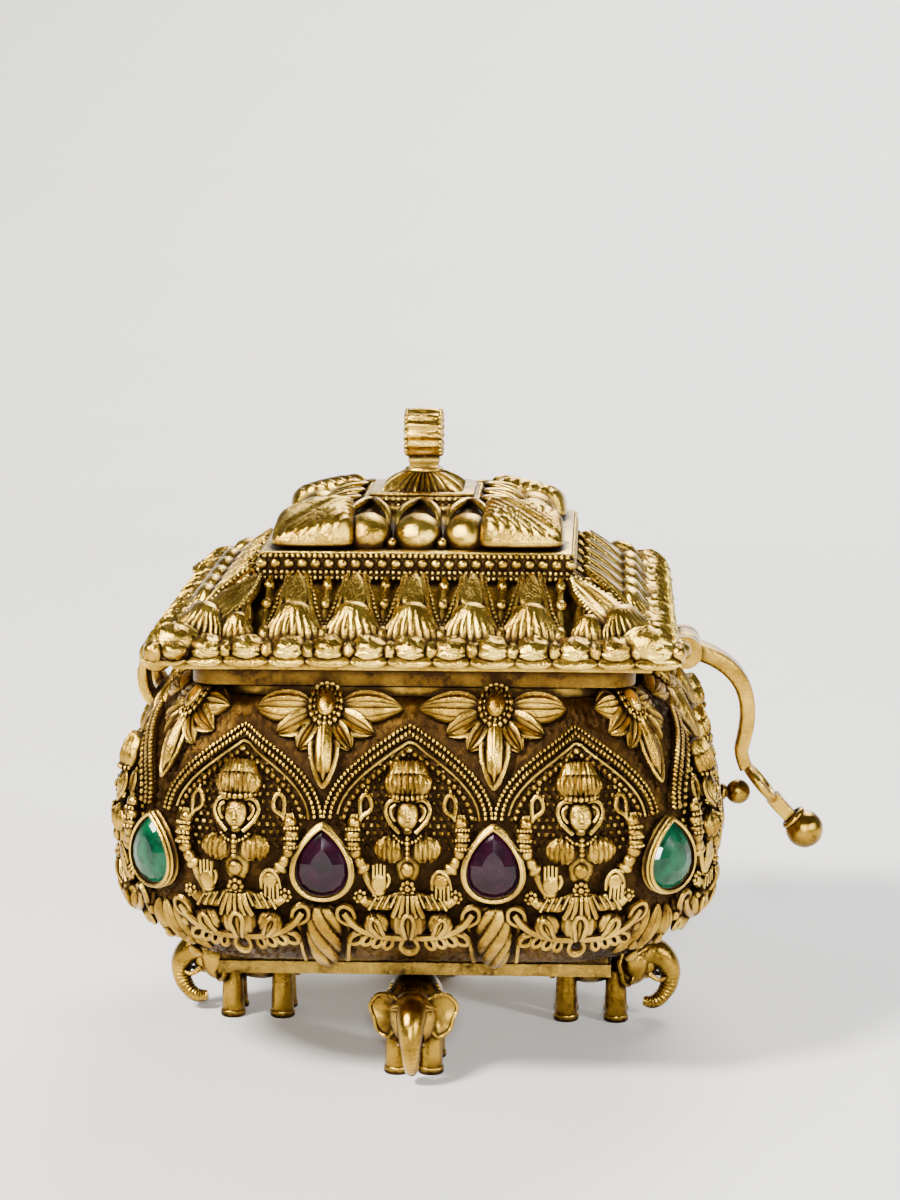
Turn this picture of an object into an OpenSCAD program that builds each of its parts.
// Lidded kumkum box in cast temple style: a bulging body on four elephants, a tiered lid,
// a hinge at the left (-X) and a hasp at the right (+X). Millimetres, +Z up. The origin is on
// the surface that the elephants stand on, under the middle of the body.
// Every wall piece is drawn on the right side (+X) and turned to its own side.

/* [Body] */
// Half width of the wall where it is widest
belly_half = 33.3; // [31:0.1:40]
// Half width of the wall at its foot
foot_half = 24; // [23:0.1:27]
// Half width of the wall at the mouth
mouth_half = 25.5; // [25:0.1:29]
// Distance of the corner bends' axes from the middle
bend_axis = 16; // [13:0.1:18]
// Height of the wall
wall_h = 30.8; // [27:0.1:37]
// Height of the widest place over the wall's foot
belly_rise = 13.5; // [11:0.1:16]
// Thickness of the cast wall
wall_t = 1.2; // [0.8:0.1:1.6]
// How far the curve leaves the foot outwards
foot_swell = 6; // [3:0.1:7]
// How far the curve comes in over the shoulder
shoulder_swell = 5.5; // [3:0.1:7]

/* [Base and liner] */
// Height of the base plate's underside
stand_h = 11.3; // [10:0.1:14]
// Half width of the base plate
base_half = 22.5; // [22:0.1:26]
// Thickness of the base plate
base_t = 2.2; // [1.6:0.1:3]
// Outer half width of the inner box
liner_half = 21; // [18:0.1:21]
// Wall and floor of the inner box
liner_t = 0.8; // [0.6:0.1:1.2]
// Half width of the lip round the mouth
collar_half = 24.8; // [24.5:0.1:27]
// Thickness of the lip
collar_t = 1; // [0.8:0.1:1.5]

/* [Relief and stones] */
// Distance between figures along the wall
figure_pitch = 18.9; // [17:0.1:20]
// Height of a figure's lap over the wall's foot
lap_rise = 9.3; // [8:0.1:11]
// Depth of the low relief
low_relief = 1.1; // [0.8:0.1:1.5]
// Depth of the high relief
high_relief = 2; // [1.6:0.1:2.4]
// Width of a pear stone
stone_w = 6; // [5:0.1:6.5]
// Height of a pear stone
stone_h = 8; // [7:0.1:8.5]
// Rim of a stone's setting
bezel_t = 0.35; // [0.3:0.05:0.5]
// Width of the beaded arch band
arch_t = 1.5; // [1:0.1:1.8]

/* [Lid] */
// Clear space between the lip and the closed lid
lid_gap = 0.2; // [0.1:0.05:0.4]
// Half width of the lid's plate
plate_half = 25; // [24.5:0.1:27]
// Thickness of the lid's plate
plate_t = 2; // [1.5:0.1:3]
// Clear space between the locating rim and the inner box
rim_gap = 0.3; // [0.2:0.05:0.5]
// Depth of the locating rim below the plate
rim_h = 1.8; // [1:0.1:3]
// Half width of the eave
eave_half = 30; // [28:0.1:31]
// Height of the eave
eave_h = 2.2; // [1.8:0.1:3]
// Height of the lower, petalled roof
roof_h = 7.1; // [6:0.1:9]
// Half width at the top of the lower roof
roof_top_half = 17; // [15:0.1:18]
// Height of the beaded cornice
cornice_h = 2.6; // [2:0.1:3.5]
// Height of the upper tier
tier_h = 3.5; // [3:0.1:5]
// Half width at the foot of the upper tier
tier_half = 16.4; // [15:0.1:17]
// Half width of the cap
cap_half = 7; // [6:0.1:8]
// Height of the cap
cap_h = 3; // [2:0.1:4]
// Height of the loop on the top
loop_h = 8.1; // [7:0.1:10]
// Width of the loop along its eye
loop_w = 4.5; // [3:0.1:6]
// Radius of the loop's eye
eye_r = 1.5; // [1:0.1:1.8]

/* [Hinge and hasp] */
// How far in from the belly the hinge axis stands
hinge_inset = 2; // [1.5:0.1:2.4]
// Radius of the hinge's knuckles
knuckle_r = 2.1; // [1.8:0.1:2.2]
// Length of all the knuckles together
hinge_w = 14; // [10:0.1:20]
// Length of the lid's knuckle
lid_knuckle_w = 5; // [4:0.1:7]
// Radius of the pins
pin_r = 0.8; // [0.6:0.05:1]
// Radial clearance of a knuckle that turns on its pin
pin_gap = 0.05; // [0.02:0.01:0.1]
// Gap between the ends of neighbouring knuckles
end_gap = 0.2; // [0.1:0.05:0.4]
// How far in from the belly the hasp's axis stands
hasp_inset = 2.3; // [1.8:0.1:2.6]
// Width of the hasp's strap
hasp_w = 5; // [3:0.1:6]
// Thickness of the hasp's strap
hasp_t = 1.7; // [1.2:0.1:2]
// Radius of the ball at the hasp's end
end_ball_r = 2.3; // [1.8:0.1:2.6]
// Radius of the stud's ball
stud_ball_r = 1.5; // [1.2:0.1:1.6]
// Clear space between the stud's ball and the hasp's eye
stud_gap = 0.4; // [0.3:0.05:0.6]

/* [Elephants] */
// Distance of an elephant's middle from the box's middle
elephant_at = 20.2; // [18:0.1:22]
// Distance between the left and right legs
leg_track = 3.8; // [3:0.1:4.5]
// Distance between the front and back legs
leg_base = 6.2; // [5:0.1:7]
// Radius of a leg
leg_r = 1.4; // [1.1:0.1:1.6]
// Radius of the body
barrel_r = 3.5; // [3:0.1:4]

/* [Hidden] */
$fn = 48;

gold = "goldenrod";
old_gold = "darkgoldenrod";
plum = "#3a0a1c";
green = "#0c8a55";

// Sides of the box, as turns of the right side
right = 0;
back = 90;
left = 180;
front = -90;
sides = [front, right, back, left];

// Heights of the stack
wall_z = stand_h + base_t;
wall_top_z = wall_z + wall_h;
belly_z = wall_z + belly_rise;
collar_top_z = wall_top_z + collar_t;
plate_z = collar_top_z + lid_gap;
eave_z = plate_z + plate_t;
roof_z = eave_z + eave_h;
cornice_z = roof_z + roof_h;
tier_z = cornice_z + cornice_h;
cap_z = tier_z + tier_h;
loop_z = cap_z + cap_h;

// The wall's curve: two Bezier arches that meet at the belly
curve_steps = 7;
belly_reach = 6;
foot_rise = 1;
shoulder_rise = 3.3;
lower_curve = [[foot_half, wall_z], [foot_half + foot_swell, wall_z + foot_rise],
    [belly_half, belly_z - belly_reach], [belly_half, belly_z]];
upper_curve = [[belly_half, belly_z], [belly_half, belly_z + belly_reach],
    [mouth_half + shoulder_swell, wall_top_z - shoulder_rise], [mouth_half, wall_top_z]];
bend_r = belly_half - bend_axis;

function curve_at(c, t) =
    pow(1 - t, 3) * c[0] + 3 * t * pow(1 - t, 2) * c[1]
    + 3 * t * t * (1 - t) * c[2] + pow(t, 3) * c[3];
function curve_way(c, t) =
    3 * pow(1 - t, 2) * (c[1] - c[0]) + 6 * t * (1 - t) * (c[2] - c[1])
    + 3 * t * t * (c[3] - c[2]);
function right_of(v) = [v[1], -v[0]] / norm(v);
function curve_beside(c, out, first, last) =
    [for (i = [first:last])
        curve_at(c, i / curve_steps) + out * right_of(curve_way(c, i / curve_steps))];
function wall_line(out, first = 0, last = curve_steps) =
    concat(curve_beside(lower_curve, out, first, curve_steps),
        curve_beside(upper_curve, out, 1, last));
function backwards(points) = [for (i = [len(points) - 1:-1:0]) points[i]];

// Base and liner
base_corner = 1.5;
liner_corner = 5;
foot_flange = foot_half - liner_half - rim_gap;
lip_flange = mouth_half - liner_half - rim_gap;
mouth_clear = liner_half - liner_t;

// Figures, measured from the foot of the wall
lap_z = wall_z + lap_rise;
lap_w = 8.4;
lap_h = 2.6;
seat_drop = 3.4;
seat_w = 14;
seat_petals = 7;
seat_petal_r = 1.35;
chest_rise = 5.6;
chest_w = 5.4;
chest_h = 3.6;
face_rise = 9.9;
face_r = 1.75;
crown_rise = 11.2;
crown_h = 3.8;
crown_foot = 3.2;
crown_top = 4.6;
arm_x = 4.9;
arm_r = 0.8;
arm_rise = 1.6;
arm_h = 8;
bud_r = 1.1;

// Arches over the figures
arch_half = 8.8;
arch_foot_z = wall_z + 18.5;
arch_peak_z = wall_z + 28.2;
arch_steps = 8;
arch_curve = [[arch_half, arch_foot_z], [arch_half - 0.2, arch_foot_z + 4],
    [arch_half / 2, arch_peak_z - 2.5], [0, arch_peak_z]];

// Stones, flowers and drops stand midway between the figures and on the corners
stone_z = wall_z + 9.65;
stone_proud = 1.2;
bezel_proud = 1.6;
bezel_tip = 2.6;
flower_z = wall_top_z - 1.6;
flower_r = 1.5;
leaf_w = 1.9;
leaf_l = 8;
side_leaf_l = 5;
side_leaf_turn = 125;
drop_z = wall_z + 4.4;
drop_w = 3.6;
drop_h = 7.6;

// Lid pieces
plate_corner = 3;
eave_corner = 6;
eave_foot_half = plate_half + 0.6;
eave_foot_h = 0.6;
eave_ring = 7;
roof_foot_half = 26;
roof_foot_h = 0.7;
shell_t = 1.2;
petal_pitch = 6.9;
petal_foot_r = 2.8;
petal_top_r = 1.5;
petal_lift = 1.3;
cornice_half = roof_top_half + 1.2;
cornice_ring = 4;
cornice_corner = 0.6;
bead_rod_r = 0.75;
tier_top_half = 13;
lobe_pitch = 5.6;
lobe_r = 2.4;
corner_lobe_r = 3.4;
corner_lobe_in = 4;
cap_band_h = 1.4;
cap_top_half = 1.8;
loop_r = 3;
loop_neck_w = 3;

// Hinge: knuckles on one axis, the lid's between the body's two
hinge_x = belly_half - hinge_inset;
hinge_z = collar_top_z;
body_knuckle_w = (hinge_w - lid_knuckle_w) / 2 - end_gap;
leaf_t = 1.3;
hinge_leaf_drop = 6.2;
lid_strap_t = plate_t - 2 * lid_gap;

// Hasp: its axis over the lip, its strap's centre line and its eye, in the plane across the hinge
hasp_lift = 0.3;
hasp_x = belly_half - hasp_inset;
hasp_z = collar_top_z + hasp_lift;
hasp_knuckle_r = 1.95;
hasp_pin_r = 0.7;
ear_w = 1.5;
strap_curve = [[0, 0], [6.6, -2.6], [7.6, -7.5], [8.0, -13.7]];
strap_steps = 12;
elbow = [8.4, -15.5];
tail = [14.6, -22.1];
tail_r = 1.1;
tail_sink = 0.4;
hasp_eye = [9.2, -16.4];
hasp_eye_turn = 40;
hasp_eye_rim = 1.1;
hasp_eye_r = stud_ball_r + stud_gap;
hasp_eye_half_cut = 2.2;

// Stud: its height comes from the circle that the hasp's eye swings on
stud_ball = [6.6, -17.6];
stud_neck_r = 0.8;
stud_collar_r = 1.3;
stud_collar_t = 0.8;
stud_z = hasp_z + stud_ball[1];
stud_ball_x = hasp_x + stud_ball[0];
stud_root_x = belly_half - wall_t;

// Elephants
belly_clear_z = 3.7;
barrel_z = belly_clear_z + barrel_r;
barrel_l = 6;
head_r = 2.9;
head_out = 4.8;
head_z = 7;
ear_r = 2.5;
ear_t = 0.6;
ear_back = 1;
ear_lean = 75;
trunk_r = 0.85;
trunk_bend_r = 2.9;
trunk_out = 7.7;
trunk_z = 4.6;
trunk_turn = 215;
saddle_w = 5;
saddle_l = 7;

module rounded_block(half, corner, h) {
    side = half - corner;
    linear_extrude(h) union() {
        square([2 * half, 2 * side], center = true);
        square([2 * side, 2 * half], center = true);
        for (x = [-side, side]) {
            for (y = [-side, side]) translate([x, y]) circle(corner);
        }
    }
}

module rounded_ring(half, corner, inner, h) {
    difference() {
        rounded_block(half, corner, h);
        translate([0, 0, -1])
            rounded_block(inner, max(corner - half + inner, 0.5), h + 2);
    }
}

// A square block with the same outline on all four faces, from points (half width, height)
module hipped(points) {
    outline = concat(points, backwards([for (p = points) [-p[0], p[1]]]));
    reach = 2 * max([for (p = points) p[0]]) + 2;
    intersection() {
        rotate([90, 0, 0]) linear_extrude(reach, center = true) polygon(outline);
        rotate([90, 0, 90]) linear_extrude(reach, center = true) polygon(outline);
    }
}

// One side of the wall up to the mitres at the corners, from an outline (half width, height)
module side_sweep(outline) {
    union() {
        translate([0, bend_axis, 0]) rotate([90, 0, 0])
            linear_extrude(2 * bend_axis) polygon(outline);
        for (m = [0, 1]) mirror([0, m, 0])
            translate([bend_axis, bend_axis, 0]) rotate_extrude(angle = 45)
                translate([-bend_axis, 0]) polygon(outline);
    }
}

// The bend at one corner, from the middle of one side's bend to the next one's
module corner_sweep(outline) {
    translate([bend_axis, bend_axis, 0]) rotate_extrude(angle = 90)
        translate([-bend_axis, 0]) polygon(outline);
}

function band_outline(out) = concat(wall_line(out), backwards(wall_line(0)));

// Stands a flat outline (along the wall, height) on the right side as a block outwards
module block_on_wall(s) {
    over = max(abs(s) - bend_axis, 0);
    translate([bend_axis, sign(s) * min(abs(s), bend_axis), 0])
        rotate(sign(s) * over / bend_r * 180 / PI)
            rotate([90, 0, 90]) linear_extrude(2 * belly_half) children();
}

module relief(s, proud) {
    intersection() {
        side_sweep(band_outline(proud));
        block_on_wall(s) children();
    }
}

module corner_relief(proud) {
    intersection() {
        corner_sweep(band_outline(proud));
        translate([bend_axis, bend_axis, 0]) rotate(45) rotate([90, 0, 90])
            linear_extrude(2 * belly_half) children();
    }
}

module pear(w, h) {
    r = w / 2;
    rise = h - w;
    touch = acos(r / (r + rise));
    translate([0, -h / 2 + r]) union() {
        circle(r);
        polygon([[r * sin(touch), r * cos(touch)], [0, r + rise],
            [-r * sin(touch), r * cos(touch)], [0, -r / 2]]);
    }
}

// A leaf with two pointed ends, from its foot at the origin up
module leaf(l, w) {
    r = (l * l + w * w) / (4 * w);
    translate([0, l / 2]) intersection() {
        translate([r - w / 2, 0]) circle(r);
        translate([w / 2 - r, 0]) circle(r);
    }
}

module base_plate() {
    color(old_gold) translate([0, 0, stand_h])
        rounded_block(base_half, base_corner, base_t);
}

module panel(side) {
    inner = concat([[mouth_half, wall_top_z], [mouth_half - lip_flange, wall_top_z],
        [mouth_half - lip_flange, wall_top_z - wall_t]],
        backwards(wall_line(-wall_t, 1, curve_steps - 1)),
        [[foot_half - foot_flange, wall_z + wall_t], [foot_half - foot_flange, wall_z]]);
    outer = wall_line(0, 0, curve_steps - 1);
    color(gold) rotate(side) side_sweep(concat(outer, inner));
}

module stud_hole() {
    translate([stud_root_x - wall_t, 0, stud_z]) rotate([0, 90, 0])
        cylinder(r = stud_neck_r, h = high_relief + 4 * wall_t);
}

module front_panel() {
    panel(front);
}

module right_panel() {
    color(gold) difference() {
        panel(right);
        stud_hole();
    }
}

module back_panel() {
    panel(back);
}

module left_panel() {
    panel(left);
}

module inner_box() {
    h = wall_h;
    color(old_gold) translate([0, 0, wall_z]) difference() {
        rounded_block(liner_half, liner_corner, h);
        translate([0, 0, liner_t])
            rounded_block(mouth_clear, liner_corner - liner_t, h);
    }
}

module top_collar() {
    color(gold) translate([0, 0, wall_top_z])
        rounded_ring(collar_half, collar_half - bend_axis, mouth_clear, collar_t);
}

module seat_outline() {
    square_w = seat_w - 2 * seat_petal_r;
    translate([0, lap_z - seat_drop]) union() {
        square([square_w, 2 * seat_petal_r], center = true);
        for (i = [0:seat_petals - 1])
            translate([(i / (seat_petals - 1) - 0.5) * square_w, 0]) circle(seat_petal_r);
    }
}

module figure_outline() {
    translate([-lap_w / 4, lap_z - seat_drop]) square([lap_w / 2, seat_drop]);
    translate([-lap_w / 2, lap_z - lap_h / 2]) square([lap_w, lap_h]);
    translate([-chest_w / 4, lap_z]) square([chest_w / 2, face_rise]);
    translate([-chest_w / 2, lap_z + chest_rise - chest_h / 2]) square([chest_w, chest_h]);
    translate([0, lap_z + face_rise]) circle(face_r);
    translate([0, lap_z + crown_rise])
        polygon([[-crown_foot / 2, 0], [crown_foot / 2, 0],
            [crown_top / 2, crown_h], [-crown_top / 2, crown_h]]);
}

module arms_outline() {
    for (m = [-1, 1]) {
        translate([m * arm_x - arm_r, lap_z + arm_rise]) square([2 * arm_r, arm_h]);
        translate([m * arm_x, lap_z + arm_rise + arm_h]) circle(bud_r);
    }
    translate([-arm_x, lap_z + chest_rise - arm_r]) square([2 * arm_x, 2 * arm_r]);
}

// The seat and arms stand lower than the figure, and end against its outline
module figures(side) {
    color(gold) rotate(side) for (i = [-1:1]) {
        relief(i * figure_pitch, low_relief) difference() {
            union() {
                seat_outline();
                arms_outline();
            }
            figure_outline();
        }
        relief(i * figure_pitch, high_relief) union() figure_outline();
    }
}

module front_figures() {
    figures(front);
}

module right_figures() {
    color(gold) difference() {
        figures(right);
        stud_hole();
    }
}

module back_figures() {
    figures(back);
}

module left_figures() {
    figures(left);
}

function arch_side(out) = [for (i = [0:arch_steps])
    curve_at(arch_curve, i / arch_steps)
    + out * right_of(curve_way(arch_curve, i / arch_steps))];

module arch_outline() {
    for (m = [0, 1]) mirror([m, 0])
        polygon(concat(arch_side(arch_t / 2), backwards(arch_side(-arch_t / 2))));
}

module arch_bands() {
    color(gold) for (side = sides) {
        rotate(side) for (i = [-1:1])
            relief(i * figure_pitch, high_relief) union() arch_outline();
    }
}

module flower_outline() {
    translate([0, flower_z]) union() {
        circle(flower_r);
        rotate(180) leaf(leaf_l, leaf_w);
        for (m = [-1, 1]) rotate(m * side_leaf_turn) leaf(side_leaf_l, leaf_w);
    }
}

module flower_bosses() {
    color(gold) for (side = sides) {
        rotate(side) {
            for (m = [-0.5, 0.5])
                relief(m * figure_pitch, low_relief) flower_outline();
            corner_relief(low_relief) flower_outline();
        }
    }
}

module drop_outline() {
    translate([0, drop_z + drop_h / 2 - drop_w / 2]) union() {
        circle(drop_w / 2);
        polygon([[-drop_w / 2, 0], [drop_w / 2, 0],
            [drop_w / 4, drop_w / 2 - drop_h], [-drop_w / 4, drop_w / 2 - drop_h]]);
    }
}

module shell_drops() {
    color(gold) for (side = sides) {
        rotate(side) {
            for (m = [-0.5, 0.5]) relief(m * figure_pitch, high_relief) drop_outline();
            corner_relief(low_relief) drop_outline();
        }
    }
}

module stone_outline() {
    translate([0, stone_z + stone_h / 2]) pear(stone_w, stone_h);
}

module bezel_outline() {
    difference() {
        translate([0, stone_z + stone_h / 2])
            pear(stone_w + 2 * bezel_t, stone_h + bezel_tip * bezel_t);
        stone_outline();
    }
}

module ruby_bezels() {
    color(gold) for (side = sides) {
        rotate(side) for (m = [-0.5, 0.5])
            relief(m * figure_pitch, bezel_proud) bezel_outline();
    }
}

module emerald_bezels() {
    color(gold) for (side = sides) {
        rotate(side) corner_relief(bezel_proud) bezel_outline();
    }
}

module rubies() {
    color(plum) for (side = sides) {
        rotate(side) for (m = [-0.5, 0.5])
            relief(m * figure_pitch, stone_proud) stone_outline();
    }
}

module emeralds() {
    color(green) for (side = sides) {
        rotate(side) corner_relief(stone_proud) stone_outline();
    }
}

// One elephant, which looks outwards under the right side
module elephant(side) {
    saddle_z = barrel_z + barrel_r / 2;
    color(old_gold) rotate(side) translate([elephant_at, 0, 0]) union() {
        translate([-barrel_l / 2, 0, barrel_z]) {
            rotate([0, 90, 0]) cylinder(r = barrel_r, h = barrel_l);
            sphere(barrel_r);
        }
        translate([-saddle_l / 2, -saddle_w / 2, saddle_z])
            cube([saddle_l, saddle_w, stand_h - saddle_z]);
        for (x = [-leg_base / 2, leg_base / 2]) {
            for (y = [-leg_track / 2, leg_track / 2])
                translate([x, y, 0]) cylinder(r = leg_r, h = barrel_z);
        }
        translate([head_out, 0, head_z]) sphere(head_r);
        for (m = [-1, 1]) {
            translate([head_out - ear_back, m * head_r, head_z]) rotate([m * ear_lean, 0, 0])
                cylinder(r = ear_r, h = ear_t, center = true);
        }
        translate([trunk_out, 0, trunk_z]) rotate([90, 0, 0]) rotate(-trunk_turn + 90)
            rotate_extrude(angle = trunk_turn) translate([trunk_bend_r, 0]) circle(trunk_r);
    }
}

module elephant_front() {
    elephant(front);
}

module elephant_right() {
    elephant(right);
}

module elephant_back() {
    elephant(back);
}

module elephant_left() {
    elephant(left);
}

module catch_stud() {
    color(gold) translate([stud_root_x, 0, stud_z]) rotate([0, 90, 0]) union() {
        cylinder(r = stud_neck_r, h = stud_ball_x - stud_root_x);
        translate([0, 0, belly_half + high_relief - stud_root_x])
            cylinder(r = stud_collar_r, h = stud_collar_t);
        translate([0, 0, stud_ball_x - stud_root_x]) sphere(stud_ball_r);
    }
}

module along_y(r, w) {
    rotate([90, 0, 0]) cylinder(r = r, h = w, center = true);
}

module body_hinge_leaf() {
    knuckle_y = (hinge_w - body_knuckle_w) / 2;
    leaf_x = -hinge_x - knuckle_r;
    color(gold) difference() {
        union() {
            for (y = [-knuckle_y, knuckle_y]) {
                translate([-hinge_x, y, hinge_z]) along_y(knuckle_r, body_knuckle_w);
                translate([leaf_x, y - body_knuckle_w / 2, hinge_z - hinge_leaf_drop])
                    cube([leaf_t, body_knuckle_w, hinge_leaf_drop]);
            }
            translate([leaf_x, -hinge_w / 2, hinge_z - hinge_leaf_drop - leaf_t])
                cube([hinge_x + knuckle_r - bend_axis, hinge_w, leaf_t]);
        }
        translate([-hinge_x, 0, hinge_z]) along_y(pin_r, hinge_w + 2);
        side_sweep_solid(left);
    }
}

// Everything inside the wall's outer face on one side
module side_sweep_solid(side) {
    outline = concat([[bend_axis, wall_z]], wall_line(0), [[bend_axis, wall_top_z]]);
    rotate(side) translate([0, bend_axis, 0]) rotate([90, 0, 0])
        linear_extrude(2 * bend_axis) polygon(outline);
}

module hinge_pin() {
    color(old_gold) translate([-hinge_x, 0, hinge_z]) along_y(pin_r, hinge_w);
}

module lid_hinge_leaf() {
    strap_l = hinge_x - plate_half;
    color(gold) difference() {
        union() {
            translate([-hinge_x, 0, hinge_z]) along_y(knuckle_r, lid_knuckle_w);
            translate([-hinge_x, -lid_knuckle_w / 2, plate_z + plate_t - lid_strap_t])
                cube([strap_l, lid_knuckle_w, lid_strap_t]);
        }
        translate([-hinge_x, 0, hinge_z]) along_y(pin_r + pin_gap, lid_knuckle_w + 2);
    }
}

module lid_plate() {
    color(gold) translate([0, 0, plate_z])
        rounded_block(plate_half, plate_corner, plate_t);
}

module lid_locating_rim() {
    half = mouth_clear - rim_gap;
    color(old_gold) translate([0, 0, plate_z - rim_h])
        rounded_ring(half, liner_corner - liner_t - rim_gap, half - liner_t, rim_h);
}

module lid_eave() {
    color(gold) translate([0, 0, eave_z]) difference() {
        union() {
            rounded_block(eave_foot_half, plate_corner, eave_foot_h);
            translate([0, 0, eave_foot_h])
                rounded_block(eave_half, eave_corner, eave_h - eave_foot_h);
        }
        translate([0, 0, -1])
            rounded_block(eave_half - eave_ring, plate_corner, eave_h + 2);
    }
}

module petal() {
    run = roof_foot_half - roof_top_half;
    rise = roof_h - roof_foot_h;
    slope = norm([run, rise]);
    translate([roof_foot_half, 0, roof_z + petal_lift])
        rotate([0, -atan2(run, rise), 0])
            cylinder(r1 = petal_foot_r, r2 = petal_top_r, h = slope - petal_top_r);
}

// The petal that lies on the roof's hip
module corner_petal() {
    run = (roof_foot_half - roof_top_half) * sqrt(2);
    rise = roof_h - roof_foot_h;
    rotate(45) translate([roof_foot_half * sqrt(2) - petal_foot_r, 0, roof_z + petal_lift])
        rotate([0, -atan2(run, rise), 0])
            cylinder(r1 = petal_foot_r, r2 = petal_top_r, h = norm([run, rise]) - petal_foot_r);
}

module lid_petal_roof() {
    top = cornice_z;
    outer = [[roof_foot_half, roof_z], [roof_foot_half, roof_z + roof_foot_h],
        [roof_top_half, top]];
    inner = [[roof_foot_half - 2 * shell_t, roof_z - 1],
        [roof_foot_half - 2 * shell_t, roof_z],
        [roof_top_half - 2 * shell_t, top], [roof_top_half - 2 * shell_t, top + 1]];
    color(gold) difference() {
        union() {
            hipped(outer);
            intersection() {
                for (side = sides) {
                    rotate(side) {
                        for (i = [-2:2]) translate([0, i * petal_pitch, 0]) petal();
                        corner_petal();
                    }
                }
                translate([0, 0, roof_z]) rounded_block(eave_half, eave_corner, roof_h);
            }
        }
        hipped(inner);
    }
}

module lid_cornice() {
    side = cornice_half - bead_rod_r;
    color(gold) translate([0, 0, cornice_z]) union() {
        rounded_ring(side, cornice_corner, cornice_half - cornice_ring, cornice_h);
        for (turn = [0, 90]) {
            rotate(turn) for (m = [-1, 1])
                translate([m * side, 0, cornice_h / 2]) along_y(bead_rod_r, 2 * side);
        }
        for (x = [-side, side]) {
            for (y = [-side, side]) translate([x, y, cornice_h / 2]) sphere(bead_rod_r);
        }
    }
}

module lid_upper_tier() {
    corner_at = tier_half - corner_lobe_in;
    color(gold) translate([0, 0, tier_z]) difference() {
        union() {
            hipped([[tier_half, 0], [tier_top_half, tier_h]]);
            for (side = sides) {
                rotate(side) {
                    for (i = [-1:1])
                        translate([tier_half - lobe_r, i * lobe_pitch, tier_h / 2])
                            sphere(lobe_r);
                    translate([corner_at, corner_at, tier_h / 2]) sphere(corner_lobe_r);
                }
            }
        }
        hipped([[2 * tier_half, -2 * corner_lobe_r], [2 * tier_half, 0]]);
        hipped([[tier_half - 2 * shell_t, -shell_t], [tier_half - 2 * shell_t, 0],
            [tier_top_half - 2 * shell_t, tier_h - shell_t]]);
    }
}

module lid_cap() {
    color(gold) translate([0, 0, cap_z]) union() {
        hipped([[cap_half, 0], [cap_half, cap_band_h], [cap_top_half, cap_h]]);
    }
}

module finial_loop() {
    top_z = loop_z + loop_h;
    color(gold) difference() {
        union() {
            translate([0, 0, top_z - loop_r]) rotate([0, 90, 0])
                cylinder(r = loop_r, h = loop_w, center = true);
            translate([-cap_top_half, -loop_neck_w / 2, loop_z])
                cube([2 * cap_top_half, loop_neck_w, loop_h - loop_r]);
        }
        translate([0, 0, top_z - loop_r]) rotate([0, 90, 0])
            cylinder(r = eye_r, h = loop_w + 2, center = true);
    }
}

module hasp_bracket() {
    ear_y = (hasp_w + ear_w) / 2 + end_gap;
    color(gold) difference() {
        for (y = [-ear_y, ear_y]) {
            translate([hasp_x, y, hasp_z]) along_y(hasp_knuckle_r, ear_w);
            translate([plate_half, y - ear_w / 2, plate_z + plate_t - lid_strap_t])
                cube([hasp_x - plate_half, ear_w, lid_strap_t]);
        }
        translate([hasp_x, 0, hasp_z]) along_y(hasp_pin_r, hasp_w + 4 * ear_w);
    }
}

module hasp_pin() {
    color(old_gold) translate([hasp_x, 0, hasp_z])
        along_y(hasp_pin_r, hasp_w + 2 * (ear_w + end_gap));
}

function strap_side(out) = [for (i = [0:strap_steps])
    curve_at(strap_curve, i / strap_steps)
    + out * right_of(curve_way(strap_curve, i / strap_steps))];

module stretch(a, b, w) {
    run = b - a;
    translate(a) rotate(atan2(run[1], run[0])) translate([0, -w / 2])
        square([norm(run), w]);
}

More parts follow.
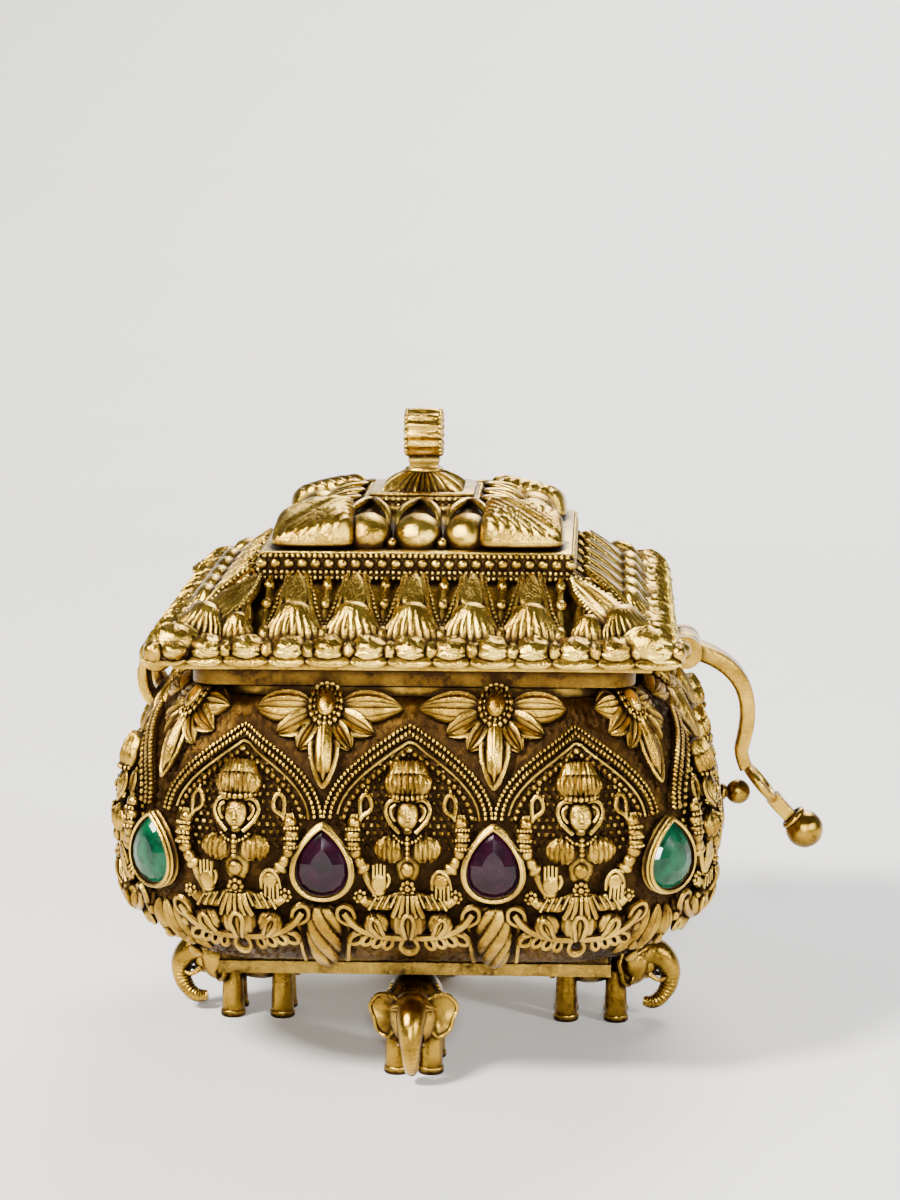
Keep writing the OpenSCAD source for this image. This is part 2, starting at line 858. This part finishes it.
module hasp_lever() {
    knuckle = [hasp_x, 0, hasp_z];
    color(gold) translate(knuckle) difference() {
        union() {
            along_y(hasp_knuckle_r, hasp_w);
            rotate([90, 0, 0]) linear_extrude(hasp_w, center = true) union() {
                polygon(concat(strap_side(hasp_t / 2), backwards(strap_side(-hasp_t / 2))));
                stretch(strap_curve[3], elbow, hasp_t);
                translate(elbow) circle(hasp_t / 2);
                translate(strap_curve[3]) circle(hasp_t / 2);
            }
            translate([hasp_eye[0], 0, hasp_eye[1]]) rotate([0, 90 - hasp_eye_turn, 0])
                cylinder(r = hasp_eye_r + hasp_eye_rim, h = hasp_t, center = true);
            translate([hasp_eye[0], 0, hasp_eye[1]]) tail_rod();
        }
        along_y(hasp_pin_r + pin_gap, hasp_w + 2);
        translate([hasp_eye[0], 0, hasp_eye[1]]) rotate([0, 90 - hasp_eye_turn, 0])
            cylinder(r = hasp_eye_r, h = 2 * hasp_eye_half_cut, center = true);
    }
}

// The round tail from the eye's rim to the end ball
module tail_rod() {
    run = tail - hasp_eye;
    start = hasp_eye_r + hasp_eye_rim / 2;
    rotate([0, 90 - atan2(run[1], run[0]), 0]) translate([0, 0, start])
        cylinder(r = tail_r, h = norm(run) - start - end_ball_r + tail_sink);
}

module hasp_end_ball() {
    color(gold) difference() {
        translate([hasp_x + tail[0], 0, hasp_z + tail[1]]) sphere(end_ball_r);
        translate([hasp_x + hasp_eye[0], 0, hasp_z + hasp_eye[1]]) tail_rod();
    }
}

base_plate();
front_panel();
right_panel();
back_panel();
left_panel();
inner_box();
top_collar();
front_figures();
right_figures();
back_figures();
left_figures();
arch_bands();
flower_bosses();
shell_drops();
ruby_bezels();
emerald_bezels();
rubies();
emeralds();
elephant_front();
elephant_right();
elephant_back();
elephant_left();
catch_stud();
body_hinge_leaf();
hinge_pin();
lid_hinge_leaf();
lid_plate();
lid_locating_rim();
lid_eave();
lid_petal_roof();
lid_cornice();
lid_upper_tier();
lid_cap();
finial_loop();
hasp_bracket();
hasp_pin();
hasp_lever();
hasp_end_ball();
